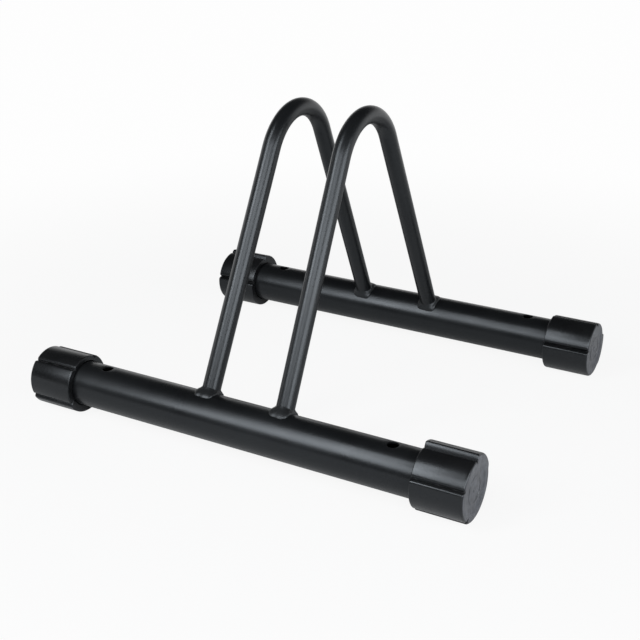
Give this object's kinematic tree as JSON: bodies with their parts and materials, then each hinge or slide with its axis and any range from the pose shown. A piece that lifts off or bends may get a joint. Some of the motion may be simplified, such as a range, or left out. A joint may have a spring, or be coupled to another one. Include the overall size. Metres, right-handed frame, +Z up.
{
  "type": "bicycle floor parking stand",
  "caption": "Low floor stand of welded round tube that holds one bicycle by a wheel between two bent hoops, with stepped caps on its base tubes that turn to level it.",
  "frame": {"origin": "on the floor under the middle of the stand", "axes": "+X along the base tubes to the right, +Y from the front tube to the rear tube, the way a wheel rolls in, +Z up"},
  "size_m": [0.419, 0.3566, 0.2707],
  "materials": {
    "frame_paint": "satin black powder coat on steel tube",
    "weld_paint": "satin black powder coat over a weld bead",
    "cap_plastic": "black moulded plastic with a soft sheen"
  },
  "bodies": {
    "frame": {"front_base_tube": "frame_paint", "rear_base_tube": "frame_paint", "left_hoop": "frame_paint", "right_hoop": "frame_paint", "left_front_weld": "weld_paint", "left_rear_weld": "weld_paint", "right_front_weld": "weld_paint", "right_rear_weld": "weld_paint"},
    "front_left_foot_cap": {"front_left_cap": "cap_plastic"},
    "front_right_foot_cap": {"front_right_cap": "cap_plastic"},
    "rear_left_foot_cap": {"rear_left_cap": "cap_plastic"},
    "rear_right_foot_cap": {"rear_right_cap": "cap_plastic"}
  },
  "joints": [
    {"name": "front_left_cap_turn", "type": "hinge", "parent": "frame", "child": "front_left_foot_cap", "pos_m": [-0.188, -0.1523, 0.027], "axis": [1, 0, 0], "continuous": true},
    {"name": "front_right_cap_turn", "type": "hinge", "parent": "frame", "child": "front_right_foot_cap", "pos_m": [0.188, -0.1523, 0.027], "axis": [1, 0, 0], "continuous": true},
    {"name": "rear_left_cap_turn", "type": "hinge", "parent": "frame", "child": "rear_left_foot_cap", "pos_m": [-0.188, 0.1497, 0.027], "axis": [1, 0, 0], "continuous": true},
    {"name": "rear_right_cap_turn", "type": "hinge", "parent": "frame", "child": "rear_right_foot_cap", "pos_m": [0.188, 0.1497, 0.027], "axis": [1, 0, 0], "continuous": true}
  ]
}
